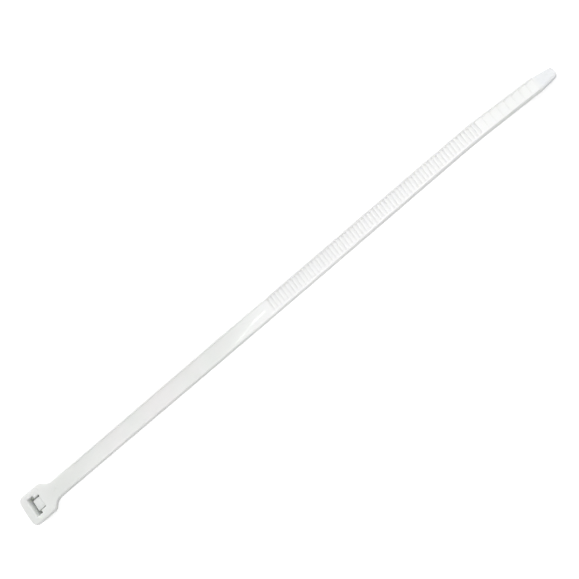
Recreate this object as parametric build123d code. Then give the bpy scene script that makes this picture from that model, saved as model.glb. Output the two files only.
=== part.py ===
"""Cable tie: one moulding in natural nylon, lying face up as it comes to rest.

X runs from the head to the tip, Z is up, and the origin is under the middle of the
tie, on the surface that it lies on. The tie is drawn with X measured from the far
end of the head, and moved to that origin at the end. The strap is drawn in stations
along X: each has its own height, twist and width, so that the strap rises a little,
turns about its length, and bends down to the surface near the tip.
"""
from build123d import *
import os
from math import cos, sin, tan, radians

# Overall sizes, in millimetres
overall_length = 163.0
head_height = 4.6
strap_width = 4.8
strap_thickness = 1.35

# Head and neck, measured from the head's far end
head_side = 1.7
head_length = 6.9
end_bulge = 0.15
side_bulge = 0.1
end_corner = 1.3
shoulder_corner = 1.0
neck_width = 4.55
neck_fillet = 3.0
neck_end = 10.6
body_inset = 0.05
body_under_shoulder = 0.6
side_lean = 17.0
end_lean = 10.0
strap_side_lean = 22.0
foot_corner = 1.0
foot_edge = 0.3
gusset_depth = 1.4
gusset_length = 2.8
gusset_inset = 0.4

# Slot through the head
slot_start = 1.95
slot_clearance = 0.1
lead_in = 0.5
lead_in_depth = 1.0
exit_chamfer = 0.25
throat = 1.05

# Pawl: a tongue that hangs from the entry face beside the slot
pawl_width = 2.85
pawl_block = 0.9
pawl_web = 0.9
pawl_web_thickness = 0.75
pawl_recess = 0.4
pawl_web_dip = 0.15
pawl_edge = 0.1
pawl_back_slope = 0.3
pawl_side_gap = 0.36
pawl_foot_height = 0.5
pawl_foot = 0.6
pawl_teeth = 3
pawl_tooth_pitch = 0.6
pawl_tooth_depth = 0.25

# Strap section
edge_chamfer = 0.18
rail_width = 0.5
channel_depth = 0.15
channel_start = 13.5
full_width_at = 60.0

# Locking teeth, and the coarse grip ribs of the tail
tooth_pitch = 1.05
tooth_depth = 0.38
tooth_land = 0.25
notch_inset = 0.1
teeth_start = 78.0
rib_count = 8
rib_pitch = 2.03
rib_height = 0.18
rib_land = 0.25

# Tip
plain_tip = 5.1
tip_thickness = 0.85
tip_width = 2.6
tip_corner = 0.7
tip_curve = 1.6
tail_taper = 0.45

# How the strap lies: it climbs and turns from twist_start on, and its tail bends down
twist_start = 85.0
twist_rate = 0.2
strap_rise = 0.6
tail_length = 23.4
bend_length = 7.0
tip_lift = 0.03

# The round mark of an ejector pin on the neck
pin_mark_diameter = 1.2
pin_mark_depth = 0.06
pin_mark_x = 9.6
pin_mark_y = -0.4

# Worked out from the sizes above
head_width = strap_width + 2 * head_side
slot_width = strap_width + 2 * slot_clearance
slot_wall = slot_start + lead_in
pawl_face = slot_wall + throat
pawl_root = pawl_face + pawl_block + pawl_web
slot_end = pawl_face + pawl_block / 3
pawl_bay_width = pawl_width + 2 * pawl_side_gap
strap_underside = head_height - strap_thickness
shoulder_end = head_length + (head_width / 2 - side_bulge) - neck_width / 2
bend_at = overall_length - tail_length
tip_start = overall_length - plain_tip
ribs_start = tip_start - (rib_count - 1) * rib_pitch
tip_twist = radians(twist_rate * (overall_length - twist_start))
tip_height = (strap_thickness + tip_width / 2 * sin(tip_twist)) / cos(tip_twist) + tip_lift
cut_past = 1.0
overlap = 0.1


def twist(x):
    """Turn of the strap about its length, in degrees: it lifts the -Y edge."""
    return twist_rate * max(0.0, x - twist_start)


def climb(x):
    """Height of the strap's top face, before the tail's bend is taken off."""
    return head_height + strap_rise * max(0.0, x - twist_start) / (bend_at - twist_start)


def past_bend(x):
    """Distance past the bend, with the corner rounded over bend_length."""
    d = x - bend_at
    if abs(d) < bend_length / 2:
        return (d + bend_length / 2) ** 2 / (2 * bend_length)
    return max(0.0, d)


tail_fall = (climb(overall_length) - tip_height) / tail_length


def top_height(x):
    """Height of the middle of the strap's top face."""
    return climb(x) - tail_fall * past_bend(x)


def half_width(x):
    """Half the strap's width, which grows from the neck and then stays the same."""
    grown = min(1.0, max(0.0, (x - neck_end) / (full_width_at - neck_end)))
    return (neck_width + (strap_width - neck_width) * grown) / 2


def across(x):
    """Plane across the strap: its x lies across, its y points up from the top face."""
    turn = radians(twist(x))
    step = 0.5
    slope = Vector(2 * step, 0, top_height(x + step) - top_height(x - step))
    return Plane(origin=(x, 0, top_height(x)), x_dir=(0, cos(turn), -sin(turn)), z_dir=slope)


def lengthwise(x):
    """Plane along the strap: its x points to the tip, its y up from the top face."""
    here = across(x)
    return Plane(origin=here.origin, x_dir=here.z_dir, z_dir=-here.x_dir)


def profile(plane, points):
    """Flat face with straight sides on a plane."""
    return plane * make_face(Polyline(*points, close=True))


def strap_section(x):
    """Outline of the strap at x, with its four edges broken."""
    w = half_width(x)
    c = edge_chamfer
    t = strap_thickness
    points = [(-w, -c), (-w, c - t), (c - w, -t), (w - c, -t), (w, c - t), (w, -c), (w - c, 0), (c - w, 0)]
    return profile(across(x), points)


def channel_section(x):
    """Outline of the shallow channel between the two rails at x."""
    w = half_width(x) - rail_width
    return profile(across(x), [(-w, cut_past), (-w, -channel_depth), (w, -channel_depth), (w, cut_past)])


def stations(first):
    """Places along the strap from first to past the tip, closer together at the bend."""
    straight = [first, full_width_at, twist_start, (twist_start + bend_at) / 2]
    around_bend = [bend_at + share * bend_length for share in (-0.5, -0.25, 0, 0.25, 0.5)]
    return straight + around_bend + [overall_length + cut_past]


def notch(x, length, depth, deep_at_tip_side):
    """Three-sided cutter in the channel's floor, upright at its deep end."""
    floor = -channel_depth
    over = floor + overlap
    if deep_at_tip_side:
        points = [(0, over), (length, over), (length, floor - depth), (0, floor)]
    else:
        points = [(0, over), (length, over), (length, floor), (0, floor - depth)]
    reach = half_width(x) - rail_width - notch_inset
    return extrude(profile(lengthwise(x), points), amount=reach, both=True)


def make_teeth():
    """Notches between the locking teeth: the upright side of a tooth faces the head."""
    count = int((ribs_start - teeth_start) / tooth_pitch) - 1
    length = tooth_pitch - tooth_land
    return [notch(teeth_start + i * tooth_pitch, length, tooth_depth, True) for i in range(count)]


def make_ribs():
    """Notches between the grip ribs: the upright side of a rib faces the tip."""
    length = rib_pitch - rib_land
    return [notch(ribs_start + i * rib_pitch, length, rib_height, False) for i in range(rib_count - 1)]


def make_tip_wedge():
    """Cutter that thins the plain tip from above."""
    start = -channel_depth - rib_height
    end = tip_thickness - strap_thickness
    far = plain_tip + cut_past
    points = [(0, cut_past), (far, cut_past), (far, end), (plain_tip, end), (0, start)]
    return extrude(profile(lengthwise(tip_start), points), amount=strap_width, both=True)


def make_plan_trim():
    """Upright block with the plan shape of the tail, which narrows to a rounded tip."""
    w = strap_width / 2
    waist = w - tail_taper / 2
    tip = tip_width / 2
    curve_start = overall_length - tip_curve
    side = [(0, 2 * w), (bend_at, 2 * w), (bend_at, w), (tip_start, waist), (curve_start, tip + 0.4)]
    side.append((overall_length, tip))
    points = side + [(x, -y) for x, y in reversed(side)]
    outline = make_face(Polyline(*points, close=True))
    corners = outline.vertices().filter_by(lambda v: abs(v.X - overall_length) < 0.01)
    return extrude(fillet(corners, tip_corner), amount=4 * head_height, both=True)


def make_strap():
    """The strap from inside the head to the tip, with rails, channel, teeth and ribs."""
    body = loft([strap_section(x) for x in stations(head_length)], ruled=True)
    channel = loft([channel_section(x) for x in stations(channel_start)], ruled=True)
    body = body - channel
    body = body - make_teeth()
    body = body - make_ribs()
    body = body - make_tip_wedge()
    return body & make_plan_trim()


def head_outline():
    """Plan of the head and neck: bulged end and sides, sloping shoulders, filleted neck."""
    side = head_width / 2 - side_bulge
    n = neck_width / 2
    end = ThreePointArc((end_bulge, -side), (0, 0), (end_bulge, side))
    left = ThreePointArc((end_bulge, side), (head_length / 2, side + side_bulge), (head_length, side))
    right = ThreePointArc((head_length, -side), (head_length / 2, -side - side_bulge), (end_bulge, -side))
    neck = Polyline((head_length, side), (shoulder_end, n), (neck_end, n),
                    (neck_end, -n), (shoulder_end, -n), (head_length, -side))
    outline = make_face([*end.edges(), *left.edges(), *neck.edges(), *right.edges()])
    rounded = ((end_bulge, end_corner), (head_length, shoulder_corner), (shoulder_end, neck_fillet))
    for place, radius in rounded:
        corners = outline.vertices().filter_by(lambda v: abs(v.X - place) < 0.01 and abs(v.Y) > n - 0.01)
        outline = fillet(corners, radius)
    return outline


def make_head_body():
    """Body of the head below the strap: it leans in on all sides towards the exit face."""
    depth = strap_underside
    top_start = body_inset
    top_end = head_length + body_under_shoulder
    low_start = top_start + depth * tan(radians(end_lean))
    low_end = top_end - depth * tan(radians(strap_side_lean))
    top_width = head_width - 2 * side_bulge - 2 * body_inset
    low_width = top_width - 2 * depth * tan(radians(side_lean))
    upper = RectangleRounded(top_end - top_start, top_width, end_corner)
    lower = RectangleRounded(low_end - low_start, low_width, foot_corner)
    upper = Pos((top_start + top_end) / 2, 0, depth) * upper
    lower = Pos((low_start + low_end) / 2, 0, 0) * lower
    body = loft([lower, upper], ruled=True)
    foot = body.edges().group_by(Axis.Z)[0]
    return chamfer(foot, foot_edge)


def upright_slab(points, width):
    """Block with a side outline in X and Z, centred on the tie's middle plane."""
    return extrude(profile(Plane.XZ, points), amount=width / 2, both=True)


def make_slot():
    """Cutter for the slot, with a sloping lead-in at the entry and a chamfer at the exit."""
    h = head_height
    points = [
        (slot_start, h + cut_past), (slot_start, h), (slot_wall, h - lead_in_depth),
        (slot_wall, exit_chamfer), (slot_wall - exit_chamfer, 0), (slot_wall - exit_chamfer, -cut_past),
        (slot_end, -cut_past), (slot_end, h + cut_past),
    ]
    return upright_slab(points, slot_width)


def make_pawl_bay():
    """Cutter for the space that the pawl hangs and flexes in."""
    start = slot_end - overlap
    top = head_height + cut_past
    points = [(start, -cut_past), (pawl_root, -cut_past), (pawl_root, top), (start, top)]
    return upright_slab(points, pawl_bay_width)


def make_pawl():
    """The pawl: a thin web at its root, a block, and teeth towards the slot."""
    top = head_height - pawl_recess
    web_top = top - pawl_web_dip
    web_low = web_top - pawl_web_thickness
    back = pawl_face + pawl_block
    root = pawl_root + overlap
    low = pawl_foot_height
    points = [(root, web_top), (back, top), (pawl_face + pawl_edge, top), (pawl_face, top - pawl_edge)]
    first_tooth = low + pawl_teeth * pawl_tooth_pitch
    for i in range(pawl_teeth):
        z = first_tooth - i * pawl_tooth_pitch
        points += [(pawl_face, z), (pawl_face - pawl_tooth_depth, z - 0.8 * pawl_tooth_pitch)]
    points += [(pawl_face, low), (pawl_face + pawl_foot, low)]
    points += [(back, web_low - pawl_back_slope), (back + pawl_back_slope, web_low), (root, web_low)]
    return upright_slab(points, pawl_width)


def make_neck_gusset():
    """Sloping web under the neck, where the strap leaves the head."""
    z = strap_underside
    start = head_length - body_under_shoulder
    end = head_length + gusset_length
    middle = head_length + gusset_length * 0.75
    points = [(start, z + overlap), (end, z + overlap)]
    points += [(middle, z - gusset_depth / 5), (start, z - gusset_depth)]
    return upright_slab(points, neck_width - 2 * gusset_inset)


def make_pin_mark():
    """Cutter for the shallow round mark on the neck."""
    disc = Pos(pin_mark_x, pin_mark_y, head_height - pin_mark_depth) * Circle(pin_mark_diameter / 2)
    return extrude(disc, amount=cut_past)


def make_tie():
    """The whole tie: head, neck and strap are one solid."""
    band = extrude(Pos(0, 0, strap_underside) * head_outline(), amount=strap_thickness, dir=(0, 0, 1))
    head = band + make_head_body() + make_neck_gusset()
    head = head - make_slot() - make_pawl_bay() + make_pawl() - make_pin_mark()
    return Pos(-overall_length / 2, 0, 0) * (head + make_strap())


os.makedirs("parts", exist_ok=True)
export_step(make_tie(), "parts/cable_tie.step")
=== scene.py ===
# %% [markdown]
# A cable tie in natural nylon. The whole thing is one injection moulding: a head with a slot and a
# springy pawl, a strap with two raised rails, locking teeth, grip ribs near the end, and a thin tip.
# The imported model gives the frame: this piece takes its length, its width and its place from it.

# %% Load the frame
from math import cos, pi, radians, sin, sqrt, tan

import bmesh
import bpy
from mathutils import Matrix, Vector


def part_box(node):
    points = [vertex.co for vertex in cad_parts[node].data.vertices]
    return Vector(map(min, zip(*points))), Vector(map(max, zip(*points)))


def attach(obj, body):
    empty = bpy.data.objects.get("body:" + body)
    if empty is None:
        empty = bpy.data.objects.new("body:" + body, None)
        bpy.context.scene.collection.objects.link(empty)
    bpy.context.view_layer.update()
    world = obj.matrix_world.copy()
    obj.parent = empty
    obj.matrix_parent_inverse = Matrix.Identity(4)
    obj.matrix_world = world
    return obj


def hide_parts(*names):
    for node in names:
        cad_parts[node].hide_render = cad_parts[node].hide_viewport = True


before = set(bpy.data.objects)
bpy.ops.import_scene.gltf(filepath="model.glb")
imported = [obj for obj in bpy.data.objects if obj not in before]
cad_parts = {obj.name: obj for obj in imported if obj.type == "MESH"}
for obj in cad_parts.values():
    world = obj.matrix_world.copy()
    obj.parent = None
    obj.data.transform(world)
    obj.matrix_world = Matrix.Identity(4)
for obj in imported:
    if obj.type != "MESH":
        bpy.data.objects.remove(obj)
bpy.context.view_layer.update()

node_low, node_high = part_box("cable_tie")
print("frame box", [round(v * 1000, 2) for v in (*node_low, *node_high)])

# %% [markdown]
# Sizes are in metres and named after what they are on the tie. Places along the tie are counted from
# the far end of the head, as the moulder's drawing would, and moved to the frame at the end.

# %% Sizes
mm = 0.001
tie_length = node_high.x - node_low.x
head_width = node_high.y - node_low.y
head_height = 4.6 * mm
strap_thickness = 1.35 * mm
strap_width = 4.8 * mm
neck_width = 4.55 * mm

head_length = 6.9 * mm
end_bulge = 0.15 * mm
side_bulge = 0.1 * mm
end_corner = 1.3 * mm
shoulder_corner = 1.0 * mm
neck_fillet = 3.0 * mm
neck_end = 10.6 * mm

rail_width = 0.5 * mm
channel_depth = 0.15 * mm
channel_start = 13.5 * mm
full_width_at = 60.0 * mm

tooth_pitch = 1.05 * mm
tooth_depth = 0.38 * mm
tooth_land = 0.25 * mm
teeth_start = 78.0 * mm
rib_count = 8
rib_pitch = 2.03 * mm
rib_height = 0.18 * mm
rib_land = 0.25 * mm

plain_tip = 5.1 * mm
tip_thickness = 0.85 * mm
tip_width = 2.6 * mm
tip_curve = 1.6 * mm
tip_corner = 0.7 * mm
tip_flare = 0.4 * mm
tail_taper = 0.45 * mm

twist_start = 85.0 * mm
twist_rate = 0.2 / mm
strap_rise = 0.6 * mm
tail_length = 23.4 * mm
bend_length = 7.0 * mm
tip_lift = 0.03 * mm

bend_at = tie_length - tail_length
tip_start = tie_length - plain_tip
ribs_start = tip_start - (rib_count - 1) * rib_pitch
tooth_count = int((ribs_start - teeth_start) / tooth_pitch) - 1
tip_twist = radians(twist_rate * (tie_length - twist_start))
tip_height = (strap_thickness + tip_width / 2 * sin(tip_twist)) / cos(tip_twist) + tip_lift
unbent_height = head_height + strap_rise * (tie_length - twist_start) / (bend_at - twist_start)
tail_fall = (unbent_height - tip_height) / tail_length
print("teeth", tooth_count, "ribs start at", round(ribs_start / mm, 2), "tail falls", round(tail_fall, 3))

# %% [markdown]
# The camera comes first, so that every later render shows the same view: nearly straight down from the
# near side of the strap, with the strap turned across the frame.

# %% Camera
look_at = Vector((2.35 * mm, 0.84 * mm, 2.0 * mm))
view_back = Vector((0.1736, -0.3420, 0.9235)).normalized()
view_distance = 450.0 * mm
view_roll = radians(40.5)

camera_data = bpy.data.cameras.new("camera")
camera_data.lens = 119.7
camera_data.sensor_width = 36.0
camera_data.clip_start = 0.01
camera = bpy.data.objects.new("camera", camera_data)
bpy.context.scene.collection.objects.link(camera)
bpy.context.scene.camera = camera
strap_across = (Vector((1, 0, 0)) - view_back * view_back.x).normalized()
strap_up = view_back.cross(strap_across)
picture_right = strap_across * cos(view_roll) - strap_up * sin(view_roll)
picture_up = strap_across * sin(view_roll) + strap_up * cos(view_roll)
axes = Matrix((picture_right, picture_up, view_back)).transposed().to_4x4()
camera.matrix_world = Matrix.Translation(look_at + view_back * view_distance) @ axes
print("camera at", [round(v / mm, 1) for v in camera.location])

# %% [markdown]
# Small helpers: they turn a bmesh into an object, apply its modifiers, join or cut two closed solids,
# stack rings of points into a solid, make a prism from a side outline, and round a solid's edges.

# %% Helpers for solids
def new_object(name, mesh):
    piece = bpy.data.objects.new(name, mesh)
    bpy.context.scene.collection.objects.link(piece)
    return piece


def object_from(name, shape):
    bmesh.ops.recalc_face_normals(shape, faces=shape.faces)
    mesh = bpy.data.meshes.new(name)
    shape.to_mesh(mesh)
    shape.free()
    return new_object(name, mesh)


def apply_modifiers(piece):
    graph = bpy.context.evaluated_depsgraph_get()
    mesh = bpy.data.meshes.new_from_object(piece.evaluated_get(graph))
    piece.modifiers.clear()
    old = piece.data
    piece.data = mesh
    bpy.data.meshes.remove(old)


def combine(piece, tool, operation):
    step = piece.modifiers.new("combine", "BOOLEAN")
    step.operation = operation
    step.solver = "EXACT"
    step.object = tool
    apply_modifiers(piece)
    bpy.data.objects.remove(tool)


def ring_solid(name, rings):
    """Closed solid from rings of points, with flat ends. Its points keep the rings' order."""
    shape = bmesh.new()
    loops = [[shape.verts.new(p) for p in ring] for ring in rings]
    for near, far in zip(loops, loops[1:]):
        for i in range(len(near)):
            j = (i + 1) % len(near)
            shape.faces.new((near[i], near[j], far[j], far[i]))
    shape.faces.new(loops[0])
    shape.faces.new(loops[-1])
    return object_from(name, shape)


def side_prism(name, outline, width):
    """Prism from a side outline in X and Z, centred on the tie's middle plane."""
    rings = [[Vector((x, y, z)) for x, z in outline] for y in (-width / 2, width / 2)]
    return ring_solid(name, rings)


def soften(piece, width, segments=3):
    step = piece.modifiers.new("soften", "BEVEL")
    step.width = width
    step.segments = segments
    step.limit_method = "ANGLE"
    step.angle_limit = radians(25)
    apply_modifiers(piece)

# %% [markdown]
# The plan of the tie is a half width at each place along it. Each rounded corner is a circle's arc: the
# head's far corners, the shoulders, the hollow of the neck, and the tip.

# %% Plan outline of head, neck, strap and tip
shoulder_side = head_width / 2 - side_bulge
shoulder_end = head_length + shoulder_side - neck_width / 2
shoulder_arc = shoulder_corner * tan(pi / 8)
edge_round = 0.2 * mm
neck_arc = neck_fillet * tan(pi / 8)


def head_half_width(x):
    bulge = side_bulge * (1 - (2 * x / head_length - 1) ** 2)
    if x < end_corner:
        left = sqrt(max(0.0, end_corner ** 2 - (end_corner - x) ** 2))
        return head_width / 2 - side_bulge + bulge - end_corner + left
    if x < head_length - shoulder_arc:
        return shoulder_side + bulge
    if x < head_length + shoulder_arc * cos(pi / 4):
        d = x - (head_length - shoulder_arc)
        return shoulder_side - shoulder_corner + sqrt(max(0.0, shoulder_corner ** 2 - d * d))
    if x < shoulder_end - neck_arc * cos(pi / 4):
        return shoulder_side - (x - head_length)
    if x < shoulder_end + neck_arc:
        d = shoulder_end + neck_arc - x
        return neck_width / 2 + neck_fillet - sqrt(neck_fillet ** 2 - d * d)
    return neck_width / 2


def strap_half_width(x):
    grown = min(1.0, max(0.0, (x - neck_end) / (full_width_at - neck_end)))
    half = (neck_width + (strap_width - neck_width) * grown) / 2
    if x > bend_at:
        half -= tail_taper / 2 * (x - bend_at) / (tip_start - bend_at)
    curve_start = tie_length - tip_curve
    if x > tip_start:
        share = min(1.0, (x - tip_start) / (curve_start - tip_start))
        half = (strap_width - tail_taper) / 2 * (1 - share) + (tip_width / 2 + tip_flare) * share
    if x > curve_start:
        half = tip_width / 2 + tip_flare * (tie_length - x) / tip_curve
    corner_start = tie_length - tip_corner
    if x > corner_start:
        half -= tip_corner - sqrt(max(0.0, tip_corner ** 2 - (x - corner_start) ** 2))
    return half


def half_width(x):
    return head_half_width(x) if x < neck_end else strap_half_width(x)


def steps_from(start, step, count):
    return [start + step * i for i in range(count)]


def places_along():
    """Where the rings stand: close together at the ends, the corners and the teeth's upright sides."""
    near = 0.02 * mm
    quarter = [1 - cos(i * pi / 24) for i in range(13)]
    places = [end_corner * q for q in quarter] + [edge_round * q for q in quarter[::2]]
    places += steps_from(end_corner + 0.4 * mm, 0.4 * mm, 12)
    corner_step = (1 + cos(pi / 4)) / 8
    places += steps_from(head_length - shoulder_arc, shoulder_arc * corner_step, 9)
    places += steps_from(shoulder_end - neck_arc * cos(pi / 4), neck_arc * corner_step, 9)
    places += steps_from(neck_end + 0.3 * mm, 0.3 * mm, 23)
    places += steps_from(channel_start + 1.5 * mm, 1.5 * mm, int((teeth_start - channel_start) / mm / 1.5))
    for i in range(tooth_count):
        x = teeth_start + i * tooth_pitch
        length = tooth_pitch - tooth_land
        places += [x, x + length / 2, x + length - near, x + length + near]
    teeth_end = teeth_start + tooth_count * tooth_pitch
    places += steps_from(teeth_end, 0.3 * mm, int((ribs_start - teeth_end) / mm / 0.3))
    for i in range(rib_count - 1):
        x = ribs_start + i * rib_pitch
        places += [x - near, x + near, x + rib_pitch / 2, x + rib_pitch - rib_land]
    places += [tip_start - near, tip_start + near] + steps_from(tip_start + 0.5 * mm, 0.5 * mm, 8)
    places += [tie_length - tip_corner * q for q in quarter]
    places += [tie_length - edge_round * q for q in quarter[::2]]
    return sorted(set(round(x, 7) for x in places))

# %% [markdown]
# The blank is the tie before its teeth are cut: a ring of points across the strap, repeated along it.
# Its edges are rounded as a mould's are, the rails stand above a shallow channel, and the channel's
# floor is a little hollow, because nylon shrinks most where it is thickest.

# %% Blank with rails and channel
under_round = 0.28 * mm
rail_round = 0.05 * mm
notch_inset = 0.1 * mm
floor_sink = 0.05 * mm
floor_steps = 10
least_gap = 0.01 * mm
channel_fade = 4.0 * mm


def arc_points(centre_y, centre_z, radius, start, end, steps):
    angles = [radians(start + (end - start) * i / steps) for i in range(steps + 1)]
    return [(centre_y + radius * cos(a), centre_z + radius * sin(a)) for a in angles]


def channel_share(x):
    """How much of the channel's depth there is: it fades in softly at the neck."""
    share = min(1.0, max(0.0, (x - channel_start) / channel_fade))
    return share * share * (3 - 2 * share)


def tip_drop(x):
    """How far the tip's wedge lies below the rails' top."""
    if x <= tip_start:
        return 0.0
    start = channel_depth + rib_height
    return start + (strap_thickness - tip_thickness - start) * (x - tip_start) / plain_tip


def end_drop(x):
    """How far the faces fall away at the very ends, which gives the ends a rounded edge."""
    past = edge_round - min(x, tie_length - x)
    if past <= 0:
        return 0.0
    return edge_round - sqrt(max(0.0, edge_round ** 2 - past ** 2))


def end_bow(x, y):
    """The head's far end is a shallow bow: its corners lie a little further in."""
    return end_bulge * (y / shoulder_side) ** 2 * max(0.0, 1 - x / (2 * mm))


def cross_section(x):
    """Half a ring, from the middle of the underside to the middle of the top: (y, z, on the floor)."""
    w = max(half_width(x), under_round + least_gap)
    depth = channel_depth * channel_share(x)
    fall = end_drop(x)
    drop = tip_drop(x) + fall
    low = fall - strap_thickness
    rail_in = max(w - rail_width, 0.4 * w)
    points = [(0, low, 0), (w / 2, low, 0)]
    under = min(under_round, 0.5 * (-drop - low))
    over = min(edge_round, 0.4 * (-drop - low))
    lower = arc_points(w - under, under + low, under, -90, 0, 4)
    points += [(y, z, 0) for y, z in lower]
    upper = arc_points(w - over, -over - drop, over, 0, 90, 4)
    points += [(y, z, 0) for y, z in upper]
    points += [(rail_in + rail_round, -drop, 0), (rail_in, -min(depth, rail_round) - drop, 0)]
    floor = max(depth, drop)
    points.append((rail_in - 2 * least_gap, -floor, 0))
    cut = rail_in - notch_inset
    sink = floor_sink * channel_share(x)
    points.append((cut, -floor, 0))
    for i in range(1, floor_steps + 1):
        y = (cut - least_gap) * (1 - i / floor_steps)
        points.append((y, -floor - sink * (1 - (y / cut) ** 2), 1))
    return points


def make_blank():
    """The whole upper moulding, straight, with its top face at the head's height."""
    rings = []
    marks = []
    for x in places_along():
        half = cross_section(x)
        ring = half + [(-y, z, mark) for y, z, mark in half[-2:0:-1]]
        rings.append([Vector((x + end_bow(x, y), y, head_height + z)) for y, z, mark in ring])
        marks += [mark for y, z, mark in ring]
    blank = ring_solid("blank", rings)
    floor_mark = blank.data.attributes.new("floor", "FLOAT", "POINT")
    floor_mark.data.foreach_set("value", [float(m) for m in marks])
    return blank


blank = make_blank()
print("blank", len(blank.data.vertices), "points in", len(places_along()), "rings")

# %% [markdown]
# The teeth and ribs repeat, and the whole strap then climbs, turns and bends down to the table, so both
# are rules on the blank's points. Geometry Nodes hold the rules: the sizes are named inputs, and the sums
# are written as plain Python expressions on sockets.

# %% Sums on sockets
class Value:
    """A number socket that can be used in a sum."""

    def __init__(self, tree, socket):
        self.tree = tree
        self.socket = socket

    def sum(self, operation, *values):
        node = add_node(self.tree, "ShaderNodeMath", {"operation": operation}, dict(enumerate(values)))
        return Value(self.tree, node.outputs[0])

    def __add__(self, other):
        return self.sum("ADD", self, other)

    def __radd__(self, other):
        return self.sum("ADD", other, self)

    def __sub__(self, other):
        return self.sum("SUBTRACT", self, other)

    def __rsub__(self, other):
        return self.sum("SUBTRACT", other, self)

    def __mul__(self, other):
        return self.sum("MULTIPLY", self, other)

    def __rmul__(self, other):
        return self.sum("MULTIPLY", other, self)

    def __truediv__(self, other):
        return self.sum("DIVIDE", self, other)

    def __rtruediv__(self, other):
        return self.sum("DIVIDE", other, self)

    def __pow__(self, other):
        return self.sum("POWER", self, other)

    def at_least(self, other):
        return self.sum("MAXIMUM", self, other)

    def at_most(self, other):
        return self.sum("MINIMUM", self, other)

    def above(self, other):
        return self.sum("GREATER_THAN", self, other)

    def cos(self):
        return self.sum("COSINE", self)

    def sin(self):
        return self.sum("SINE", self)

    def whole(self):
        return self.sum("FLOOR", self)


def add_node(tree, kind, settings, sockets):
    """Any node: its type, its settings, and the values or links of its sockets."""
    node = tree.nodes.new(kind)
    for name, setting in settings.items():
        setattr(node, name, setting)
    for name, value in sockets.items():
        if isinstance(value, Value):
            value = value.socket
        if isinstance(value, bpy.types.NodeSocket):
            tree.links.new(value, node.inputs[name])
        else:
            node.inputs[name].default_value = value
    return node

# %% [markdown]
# A tooth's notch slopes down towards the tip and ends in an upright side, so the pawl can ride over it
# one way only. A grip rib's notch is the other way round. Only the channel's floor is marked to move.

# %% Inputs of the teeth and the lay
strap_inputs = {
    "Teeth start": teeth_start, "Teeth end": teeth_start + tooth_count * tooth_pitch,
    "Tooth pitch": tooth_pitch, "Tooth depth": tooth_depth, "Tooth land": tooth_land,
    "Ribs start": ribs_start, "Ribs end": tip_start,
    "Rib pitch": rib_pitch, "Rib height": rib_height, "Rib land": rib_land,
    "Twist start": twist_start, "Twist rate": radians(twist_rate),
    "Rise": strap_rise / (bend_at - twist_start), "Bend at": bend_at,
    "Bend length": bend_length, "Tail fall": tail_fall, "Top height": head_height,
}
tree = bpy.data.node_groups.new("teeth and lay of the strap", "GeometryNodeTree")
tree.interface.new_socket("Geometry", in_out="INPUT", socket_type="NodeSocketGeometry")
identifiers = {}
for name in strap_inputs:
    socket = tree.interface.new_socket(name, in_out="INPUT", socket_type="NodeSocketFloat")
    identifiers[name] = socket.identifier
socket = tree.interface.new_socket("Material", in_out="INPUT", socket_type="NodeSocketMaterial")
identifiers["Material"] = socket.identifier
tree.interface.new_socket("Geometry", in_out="OUTPUT", socket_type="NodeSocketGeometry")
print("the strap's tree has", len(identifiers), "inputs")

# %% Teeth, ribs and lay as a node tree
group_in = add_node(tree, "NodeGroupInput", {}, {})
size = {name: Value(tree, group_in.outputs[name]) for name in strap_inputs}
place = add_node(tree, "GeometryNodeInputPosition", {}, {})
axes_of = add_node(tree, "ShaderNodeSeparateXYZ", {}, {0: place.outputs[0]})
along, side, height = [Value(tree, axes_of.outputs[i]) for i in range(3)]
mark = add_node(tree, "GeometryNodeInputNamedAttribute", {"data_type": "FLOAT"}, {"Name": "floor"})
on_floor = Value(tree, mark.outputs[0])


def phase(start, pitch):
    count = (along - start) / pitch
    return (count - count.whole()) * pitch


def between(start, end):
    return along.above(start) * (1 - along.above(end))


tooth_run = size["Tooth pitch"] - size["Tooth land"]
tooth_phase = phase(size["Teeth start"], size["Tooth pitch"])
tooth_slope = tooth_phase / tooth_run * (1 - tooth_phase.above(tooth_run))
tooth_cut = tooth_slope * size["Tooth depth"] * between(size["Teeth start"], size["Teeth end"])
rib_run = size["Rib pitch"] - size["Rib land"]
rib_phase = phase(size["Ribs start"], size["Rib pitch"])
rib_slope = (1 - rib_phase / rib_run).at_least(0)
rib_cut = rib_slope * size["Rib height"] * between(size["Ribs start"], size["Ribs end"] - 0.01 * mm)
level = height - size["Top height"] - on_floor * (tooth_cut + rib_cut)

past_start = (along - size["Twist start"]).at_least(0)
turn = past_start * size["Twist rate"]
from_bend = along - size["Bend at"]
in_bend = (from_bend + size["Bend length"] / 2).at_least(0).at_most(size["Bend length"])
past_bend = in_bend ** 2 / (2 * size["Bend length"]) + (from_bend - size["Bend length"] / 2).at_least(0)
top = size["Top height"] + past_start * size["Rise"] - past_bend * size["Tail fall"]
slope = size["Rise"] * along.above(size["Twist start"]) - in_bend / size["Bend length"] * size["Tail fall"]
new_place = add_node(tree, "ShaderNodeCombineXYZ", {}, {
    "X": along - slope * turn.cos() * level,
    "Y": side * turn.cos() + level * turn.sin(),
    "Z": top - side * turn.sin() + level * turn.cos(),
})
laid = add_node(tree, "GeometryNodeSetPosition", {}, {
    "Geometry": group_in.outputs["Geometry"], "Position": new_place.outputs[0]})
real = add_node(tree, "GeometryNodeRealizeInstances", {}, {"Geometry": laid.outputs[0]})
coated = add_node(tree, "GeometryNodeSetMaterial", {}, {
    "Geometry": real.outputs[0], "Material": group_in.outputs["Material"]})
add_node(tree, "NodeGroupOutput", {}, {"Geometry": coated.outputs[0]})
print("the strap's tree has", len(tree.nodes), "nodes")

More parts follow.
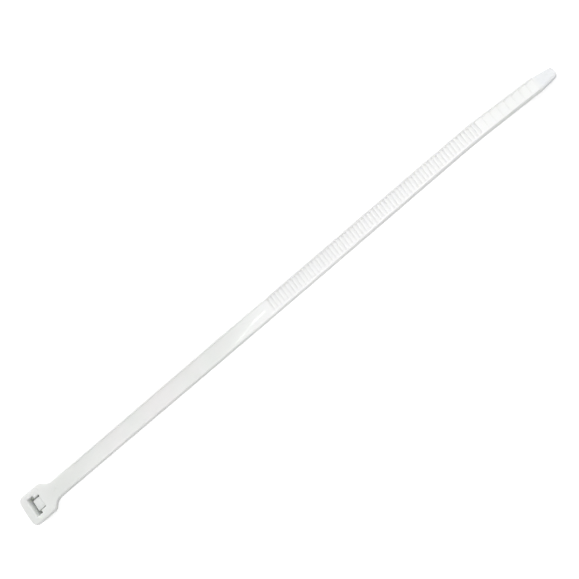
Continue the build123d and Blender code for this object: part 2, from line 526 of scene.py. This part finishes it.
# %% [markdown]
# Natural nylon is milky: white with a faint green or pink cast, a satin skin, and a little light that
# enters and comes out again. The cast changes slowly over the moulding and the skin is slightly uneven,
# so both come from soft noise on Object coordinates, which are metres here. By its place along the tie,
# the neck is given a greyer colour, which is painted shade, the toothed tail a whiter one, which is a
# painted sheen of the panel lamp, and the thin tip a cooler one.

# %% Natural nylon
nylon = bpy.data.materials.new("natural_nylon")
nylon.use_nodes = True
skin = nylon.node_tree
skin.nodes.clear()
where = add_node(skin, "ShaderNodeTexCoord", {}, {}).outputs["Object"]


def noise(scale, detail):
    node = add_node(skin, "ShaderNodeTexNoise", {}, {"Vector": where, "Scale": scale, "Detail": detail})
    return Value(skin, node.outputs[0])


def blend(share, first, second):
    node = add_node(skin, "ShaderNodeMix", {"data_type": "RGBA"}, {0: share, 6: first, 7: second})
    return node.outputs[2]


green_cast, pink_cast = (0.79, 0.81, 0.79, 1), (0.815, 0.80, 0.80, 1)
# The neck's grey is painted shade: a darker colour that stands in for the shade on the neck.
cloudy, painted_neck_shade = (0.75, 0.775, 0.75, 1), (0.72, 0.745, 0.72, 1)
# The tail's white is a painted sheen: the panel lamp's broad reflection on the toothed tail, put into the
# colour.
painted_sheen_white, tip_cool = (0.92, 0.922, 0.918, 1), (0.77, 0.79, 0.81, 1)
sheen_from, sheen_length = 64 * mm, 14 * mm
neck_shade_peak, neck_shade_reach = 13 * mm, 7 * mm
cast = ((noise(70, 2) - 0.35) * 3.2).at_least(0).at_most(1)
cloud = ((noise(260, 3) - 0.3) * 2.4).at_least(0).at_most(1)
from_head = add_node(skin, "ShaderNodeSeparateXYZ", {}, {0: where}).outputs[0]
past_head = Value(skin, from_head) + tie_length / 2
clear_white = blend(cast, green_cast, pink_cast)
milky = blend(cloud * 0.35, clear_white, cloudy)


def fade_in(start, length):
    """0 before a place along the tie, and 1 once a length past it."""
    return ((past_head - start) / length).at_least(0).at_most(1)


# Painted sheen: the tail is whitened from 64 mm past the head's far end over 14 mm, and less past the bend.
sheen_share = fade_in(sheen_from, sheen_length) * (1 - fade_in(bend_at, 8 * mm) * 0.45)
thin = fade_in(tip_start, 1 * mm)
with_sheen = blend(sheen_share * 0.8, milky, painted_sheen_white)
# Painted shade: the neck is darkened around 13 mm from the head's far end, fading out over 7 mm.
neck_shade_share = (1 - ((past_head - neck_shade_peak) / neck_shade_reach) ** 2).at_least(0)
cooled = blend(thin * 0.8, with_sheen, tip_cool)
colour = blend(neck_shade_share * 0.5, cooled, painted_neck_shade)
fine = noise(2600, 3)
wavy = noise(420, 2)
skin_bump = add_node(skin, "ShaderNodeBump", {}, {
    "Strength": 0.25, "Distance": 0.03 * mm, "Height": wavy * 0.5 + fine * 0.05})
surface = add_node(skin, "ShaderNodeBsdfPrincipled", {}, {
    "Base Color": colour, "Roughness": 0.3 + cloud * 0.1 + fine * 0.06, "IOR": 1.53,
    "Subsurface Weight": 0.9, "Subsurface Scale": 1.2 * mm, "Subsurface Radius": (1, 1, 0.95),
    "Coat Weight": 0.5, "Coat Roughness": 0.05, "Normal": skin_bump.outputs[0]})
add_node(skin, "ShaderNodeOutputMaterial", {}, {0: surface.outputs[0]})
print("natural nylon has", len(skin.nodes), "nodes")

# %% [markdown]
# The modifier's inputs are set by their identifiers before the object is first worked out. The result
# becomes a plain mesh, so the head can be added to it with booleans.

# %% Cut the teeth and lay the strap
lay = blank.modifiers.new("teeth and lay", "NODES")
lay.node_group = tree
for name, value in strap_inputs.items():
    lay[identifiers[name]] = value
lay[identifiers["Material"]] = nylon
apply_modifiers(blank)
tie = blank
tie.name = "tie_moulding"
print("laid strap", len(tie.data.polygons), "faces, height",
      round(max(v.co.z for v in tie.data.vertices) / mm, 3))

# %% [markdown]
# Below the strap's level the head is a block that leans in on all sides, so that it leaves the mould.
# It is a stack of rounded rectangles, and a sloping web under the neck carries the pull of the strap.

# %% Lower head and gusset
foot_edge = 0.3 * mm
foot_corner = 1.0 * mm
end_lean, strap_side_lean, side_lean = radians(10), radians(22), radians(17)
body_inset = 0.15 * mm
body_under_shoulder = 0.6 * mm
strap_underside = head_height - strap_thickness


def rounded_ring(x_start, x_end, half, corner, z):
    """Ring of points round a rectangle with round corners."""
    points = []
    centres = ((x_end - corner, half - corner, 0), (x_start + corner, half - corner, 90),
               (x_start + corner, corner - half, 180), (x_end - corner, corner - half, 270))
    for centre_x, centre_y, start in centres:
        points += [Vector((x, y, z)) for x, y in arc_points(centre_x, centre_y, corner, start, start + 90, 8)]
    return points


def head_ring(z, inset):
    """Outline of the lower head at a height, pulled in by an inset."""
    down = strap_underside - z
    corner = end_corner + (foot_corner - end_corner) * down / strap_underside
    start = end_bulge + body_inset + down * tan(end_lean) + inset
    end = head_length + body_under_shoulder - down * tan(strap_side_lean) - inset
    half = head_width / 2 - side_bulge - body_inset - down * tan(side_lean) - inset
    return rounded_ring(start, end, half, corner, z)


body_top = strap_underside + 0.3 * mm
foot_turns = [i * pi / 8 for i in range(4)]
foot = [head_ring(foot_edge * (1 - cos(a)), foot_edge * (1 - sin(a))) for a in foot_turns]
lower_head = ring_solid("lower head", foot + [head_ring(z, 0) for z in (foot_edge, body_top)])
combine(tie, lower_head, "UNION")
web_start = head_length - body_under_shoulder
gusset_outline = [
    (web_start, body_top), (head_length + 2.6 * mm, body_top),
    (head_length + 2.8 * mm, strap_underside), (head_length + 2.1 * mm, strap_underside - 0.28 * mm),
    (web_start, strap_underside - 1.4 * mm)]
combine(tie, side_prism("gusset", gusset_outline, neck_width - 0.8 * mm), "UNION")
print("head joined", len(tie.data.polygons), "faces")

# %% [markdown]
# The slot takes the strap's end. Its mouth is a T: the strap's width, then the narrower bay that the pawl
# hangs in. The cutter is a stack of such outlines, and near the mouth each is a little wider, which
# rounds the rim. The far wall slopes at the top to lead the strap in.

# %% Slot and pawl bay
slot_start = 1.95 * mm
slot_half = (strap_width + 0.2 * mm) / 2
lead_in = 0.5 * mm
lead_in_depth = 1.0 * mm
rim_round = 0.16 * mm
slot_wall = slot_start + lead_in
pawl_face = slot_wall + 1.05 * mm
pawl_block = 0.9 * mm
pawl_root = pawl_face + pawl_block + 0.9 * mm
slot_end = pawl_face + pawl_block / 3
pawl_width = 2.85 * mm
bay_half = pawl_width / 2 + 0.36 * mm


def mouth_ring(z, grow):
    """T-shaped outline of slot and bay at a height, made wider by grow."""
    into = min(1.0, max(0.0, (head_height - z) / lead_in_depth))
    far = slot_start + lead_in * into - grow
    half = [(far, slot_half + grow), (slot_end + grow, slot_half + grow),
            (slot_end + grow, bay_half + grow), (pawl_root + grow, bay_half + grow)]
    ring = half + [(x, -y) for x, y in reversed(half)]
    return [Vector((x, y, z)) for x, y in ring]


past = 0.6 * mm
exit_edge = 0.25 * mm
mouth = [mouth_ring(-past, exit_edge), mouth_ring(0, exit_edge), mouth_ring(exit_edge, 0)]
mouth.append(mouth_ring(head_height - lead_in_depth, 0))
for i in range(5):
    angle = i * pi / 8
    mouth.append(mouth_ring(head_height - rim_round * (1 - sin(angle)), rim_round * (1 - cos(angle))))
mouth.append(mouth_ring(head_height + past, rim_round))
combine(tie, ring_solid("mouth", mouth), "DIFFERENCE")
print("slot cut", len(tie.data.polygons), "faces")

# %% [markdown]
# The pawl is a tongue: a thin web at its root that flexes, a block, and teeth on the side that faces the
# strap. It is made from its side outline, its edges are softened, and its root runs into the head.

# %% Pawl
pawl_top = head_height - 0.4 * mm
web_top = pawl_top - 0.15 * mm
web_low = web_top - 0.75 * mm
pawl_low = 0.5 * mm
pawl_back = pawl_face + pawl_block
tooth_step = 0.6 * mm
root = pawl_root + 0.2 * mm
pawl_lip = 0.4 * mm
pawl_outline = [(root, web_top), (pawl_back, pawl_top), (pawl_face - pawl_lip, pawl_top)]
pawl_outline += [(pawl_face - pawl_lip, pawl_top - 0.5 * mm)]
for i in range(3):
    z = pawl_low + tooth_step * (3 - i)
    pawl_outline += [(pawl_face, z), (pawl_face - 0.25 * mm, z - 0.8 * tooth_step)]
pawl_outline += [(pawl_face, pawl_low), (pawl_face + 0.6 * mm, pawl_low)]
pawl_outline += [(pawl_back, web_low - 0.3 * mm), (pawl_back + 0.3 * mm, web_low), (root, web_low)]
pawl = side_prism("pawl", pawl_outline, pawl_width)
soften(pawl, 0.05 * mm)
combine(tie, pawl, "UNION")
print("pawl joined", len(tie.data.polygons), "faces")

# %% [markdown]
# An ejector pin leaves a shallow round mark on the neck, and the head's face has a tiny pit from the
# mould. Each is a shallow disc cut from the top face.

# %% Marks of the mould
disc_sides = 16
disc_slant = 0.03 * mm


def cut_disc(x, y, diameter, depth):
    """Shallow disc cut from the top face, a little wider at the face than at its floor."""
    rings = []
    last_turn = 360 - 360 / disc_sides
    for z, grow in ((head_height - depth, 0), (head_height, disc_slant), (head_height + past, disc_slant)):
        points = arc_points(x, y, diameter / 2 + grow, 0, last_turn, disc_sides - 1)
        rings.append([Vector((px, py, z)) for px, py in points])
    combine(tie, ring_solid("disc", rings), "DIFFERENCE")


cut_disc(x=9.6 * mm, y=-0.4 * mm, diameter=1.2 * mm, depth=0.06 * mm)
cut_disc(x=5.65 * mm, y=2.85 * mm, diameter=0.26 * mm, depth=0.05 * mm)
print("marks cut", len(tie.data.polygons), "faces")

# %% [markdown]
# Last, the tie moves until its middle stands over the frame's origin. The booleans leave a few slivers
# and open edges, so close points are merged, spare faces are taken out and small holes are filled, and
# the count that is printed shows what is left. Faces that meet at a shallow angle are shaded smooth.

# %% Finish the moulding
def open_edges(shape):
    return [edge for edge in shape.edges if len(edge.link_faces) != 2]


tie.data.transform(Matrix.Translation((node_low.x, 0, 0)))
skin_mesh = bmesh.new()
skin_mesh.from_mesh(tie.data)
print("open edges after the booleans:", len(open_edges(skin_mesh)))
bmesh.ops.remove_doubles(skin_mesh, verts=skin_mesh.verts, dist=0.002 * mm)
bmesh.ops.dissolve_degenerate(skin_mesh, edges=skin_mesh.edges, dist=0.001 * mm)
bmesh.ops.triangulate(skin_mesh, faces=[face for face in skin_mesh.faces if len(face.verts) > 4])
mending_rounds = 3
for mending_round in range(mending_rounds):
    shared = [edge for edge in skin_mesh.edges if len(edge.link_faces) > 2]
    spare = {min(edge.link_faces, key=lambda face: face.calc_area()) for edge in shared}
    bmesh.ops.delete(skin_mesh, geom=list(spare), context="FACES")
    bmesh.ops.holes_fill(skin_mesh, edges=[edge for edge in skin_mesh.edges if len(edge.link_faces) == 1])
    loose = [edge for edge in skin_mesh.edges if not edge.link_faces]
    bmesh.ops.delete(skin_mesh, geom=loose, context="EDGES")
bmesh.ops.recalc_face_normals(skin_mesh, faces=skin_mesh.faces)
print("open edges after mending:", len(open_edges(skin_mesh)))
skin_mesh.to_mesh(tie.data)
skin_mesh.free()
tie.data.materials.clear()
tie.data.materials.append(nylon)
tie.data.shade_smooth()
tie.data.set_sharp_from_angle(angle=radians(32))
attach(tie, "root")
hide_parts("cable_tie")
print("the tie has", len(tie.data.polygons), "faces")

# %% [markdown]
# The floor is white to the camera and in reflections, but gives back less light to the object, as a
# table does that ends a little way off. It is part emission and part diffuse, so the tie's soft shadow
# stays on it.

# %% Floor
floor_shape = bmesh.new()
bmesh.ops.create_grid(floor_shape, x_segments=1, y_segments=1, size=1.5)
table = object_from("floor", floor_shape)
table.location.z = -0.02 * mm
paper = bpy.data.materials.new("white table")
paper.use_nodes = True
paper_tree = paper.node_tree
paper_tree.nodes.clear()
rays = add_node(paper_tree, "ShaderNodeLightPath", {}, {})
ray_kinds = ("Is Camera Ray", "Is Glossy Ray", "Is Transmission Ray")
seen = [Value(paper_tree, rays.outputs[name]) for name in ray_kinds]
seen_white = seen[0].at_least(seen[1]).at_least(seen[2])
dull = add_node(paper_tree, "ShaderNodeBsdfDiffuse", {}, {"Color": (0.4, 0.4, 0.4, 1)})
under = add_node(paper_tree, "ShaderNodeEmission", {}, {"Strength": 0.12})
given_back = add_node(paper_tree, "ShaderNodeAddShader", {}, {0: dull.outputs[0], 1: under.outputs[0]})
bright = add_node(paper_tree, "ShaderNodeBsdfDiffuse", {}, {"Color": (0.8, 0.8, 0.8, 1)})
glow = add_node(paper_tree, "ShaderNodeEmission", {}, {"Strength": 0.6})
lit = add_node(paper_tree, "ShaderNodeAddShader", {}, {0: bright.outputs[0], 1: glow.outputs[0]})
both = add_node(paper_tree, "ShaderNodeMixShader", {}, {
    0: seen_white, 1: given_back.outputs[0], 2: lit.outputs[0]})
add_node(paper_tree, "ShaderNodeOutputMaterial", {}, {0: both.outputs[0]})
table.data.materials.append(paper)
print("floor", round(table.dimensions.x, 2), "m wide")

# %% [markdown]
# The light is soft. The sky is pale all round and, like the floor, is seen brighter than it lights. One
# large panel stands above the far side of the tie, and a weak low lamp behind it lifts the far edges. Two
# tiny lamps, a streak and a spark, stand where the glossy channel floor mirrors them to the camera, and
# leave the one narrow glint there.

# %% World
world = bpy.data.worlds.new("pale sky")
world.use_nodes = True
bpy.context.scene.world = world
sky = world.node_tree
sky.nodes.clear()
sky_rays = add_node(sky, "ShaderNodeLightPath", {}, {})
sky_seen = [Value(sky, sky_rays.outputs[name]) for name in ray_kinds]
sky_strength = 0.63 + 0.37 * sky_seen[0].at_least(sky_seen[1]).at_least(sky_seen[2])
sky_light = add_node(sky, "ShaderNodeBackground", {}, {"Color": (1, 1, 1, 1), "Strength": sky_strength})
add_node(sky, "ShaderNodeOutputWorld", {}, {0: sky_light.outputs[0]})
bpy.context.scene.view_settings.view_transform = "Standard"
print("sky has", len(sky.nodes), "nodes")

# %% Lamps
def area_lamp(name, place, target, long_side, width, length, watts):
    """Rectangular lamp at a place, facing a target, with its width along a given direction."""
    data = bpy.data.lights.new(name, "AREA")
    data.shape = "RECTANGLE"
    data.size = width
    data.size_y = length
    data.energy = watts
    lamp = bpy.data.objects.new(name, data)
    bpy.context.scene.collection.objects.link(lamp)
    back = (place - target).normalized()
    up = back.cross(long_side).normalized()
    lamp.matrix_world = Matrix.Translation(place) @ Matrix((up.cross(back), up, back)).transposed().to_4x4()
    return lamp


lengthways = Vector((1, 0, 0))
area_lamp("panel", Vector((0.05, 0.36, 0.42)), Vector((0.02, 0, 0)), lengthways,
          width=0.7, length=0.6, watts=1.7)
area_lamp("back fill", Vector((0, 0.6, 0.14)), Vector((0, 0, 0)), lengthways,
          width=0.8, length=0.25, watts=0.35)


def mirrored_place(x, y):
    """Where a lamp stands to show at a point of the hollow channel floor."""
    point = Vector((x, y, head_height - channel_depth))
    away = point - camera.matrix_world.translation
    hollow = 2 * floor_sink * y / (strap_width / 2 - rail_width - notch_inset) ** 2
    return point + Vector((away.x, away.y - 2 * hollow * away.length, -away.z))


glint_near = mirrored_place(-17.1 * mm, -1.6 * mm)
glint_far = mirrored_place(-5.3 * mm, -0.1 * mm)
glint_point = Vector((-11 * mm, -0.7 * mm, head_height))
streak = glint_far - glint_near
area_lamp("streak", (glint_near + glint_far) / 2, glint_point, streak,
          width=streak.length, length=2 * mm, watts=0.007)
area_lamp("spark", glint_far - streak * 0.12, glint_point, streak,
          width=6 * mm, length=6 * mm, watts=0.005)
